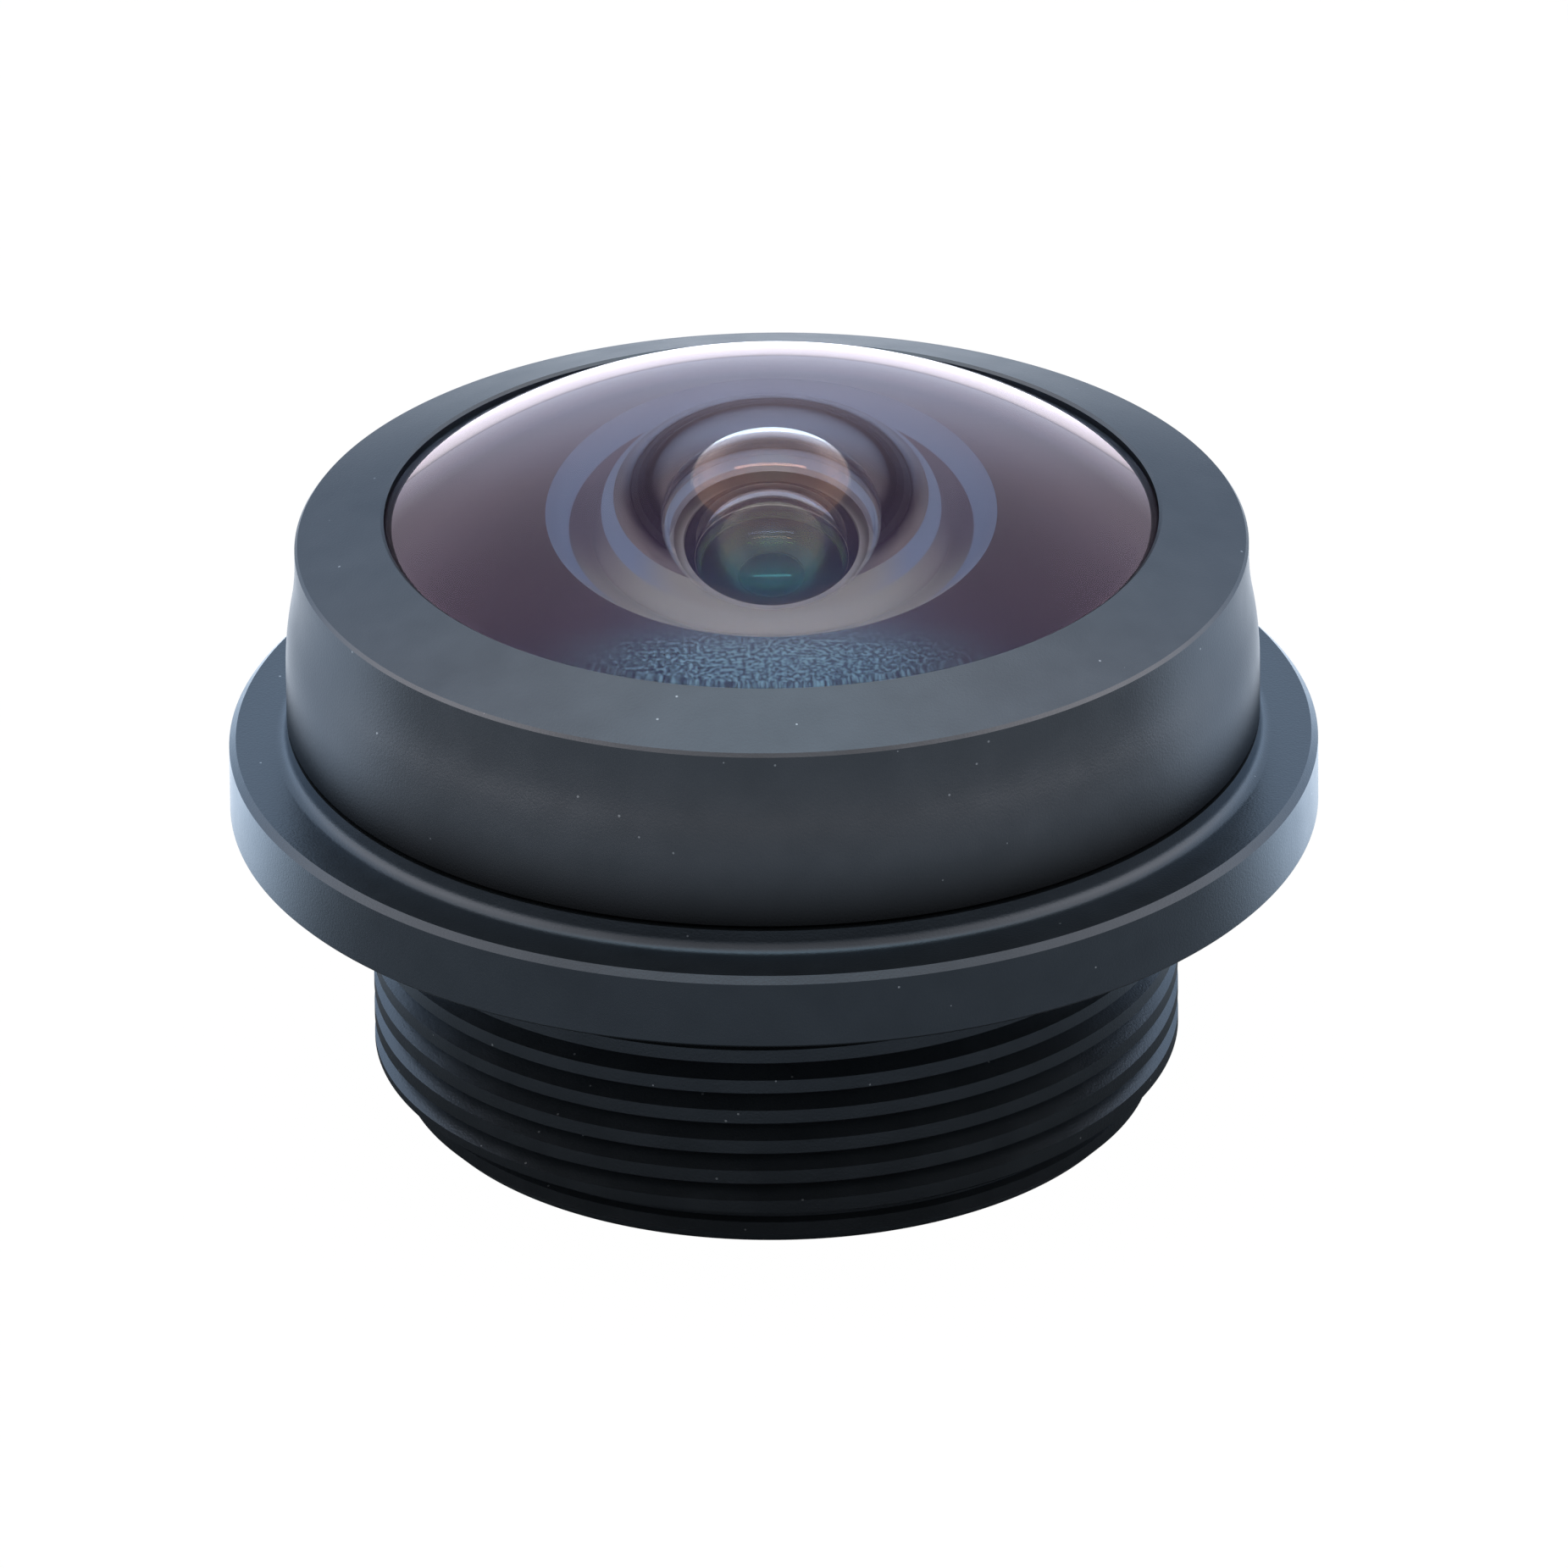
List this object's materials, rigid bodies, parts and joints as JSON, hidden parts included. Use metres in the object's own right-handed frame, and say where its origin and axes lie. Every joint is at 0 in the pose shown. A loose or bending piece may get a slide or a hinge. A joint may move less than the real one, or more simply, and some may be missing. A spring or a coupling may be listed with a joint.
{
  "type": "fisheye lens",
  "caption": "Fisheye board lens with a domed front glass in a black front ring, a round flange and a fine M12 mounting thread, with its full inner lens stack.",
  "frame": {"origin": "centre of the barrel's rear face, on the optical axis", "axes": "+Z along the optical axis, from the rear face towards the front glass; +X and +Y across it"},
  "size_m": [0.0162, 0.0162, 0.0111],
  "materials": {
    "barrel_black": "satin black anodised, turned",
    "ring_black": "satin black anodised, bead blasted",
    "front_glass": "polished, multi-layer coated, rear face painted matt black",
    "inner_glass": "polished, coated",
    "filter_glass": "flat, polished, infrared cut",
    "seal_rubber": "matt black",
    "shield_film": "matt black film",
    "spacer_black": "matt black anodised",
    "stop_black": "blackened sheet"
  },
  "bodies": {
    "root": {"barrel": "barrel_black", "front_ring": "ring_black", "first_lens": "front_glass", "front_seal": "seal_rubber", "front_shield": "shield_film", "first_spacer": "spacer_black", "second_lens": "inner_glass", "middle_shield": "shield_film", "second_spacer": "spacer_black", "third_lens": "inner_glass", "aperture_stop": "stop_black", "stop_spacer": "spacer_black", "fourth_lens": "inner_glass", "fifth_lens": "inner_glass", "rear_shield": "shield_film", "rear_spacer": "spacer_black", "sixth_lens": "inner_glass", "rear_ring": "spacer_black", "infrared_filter": "filter_glass"}
  },
  "joints": []
}
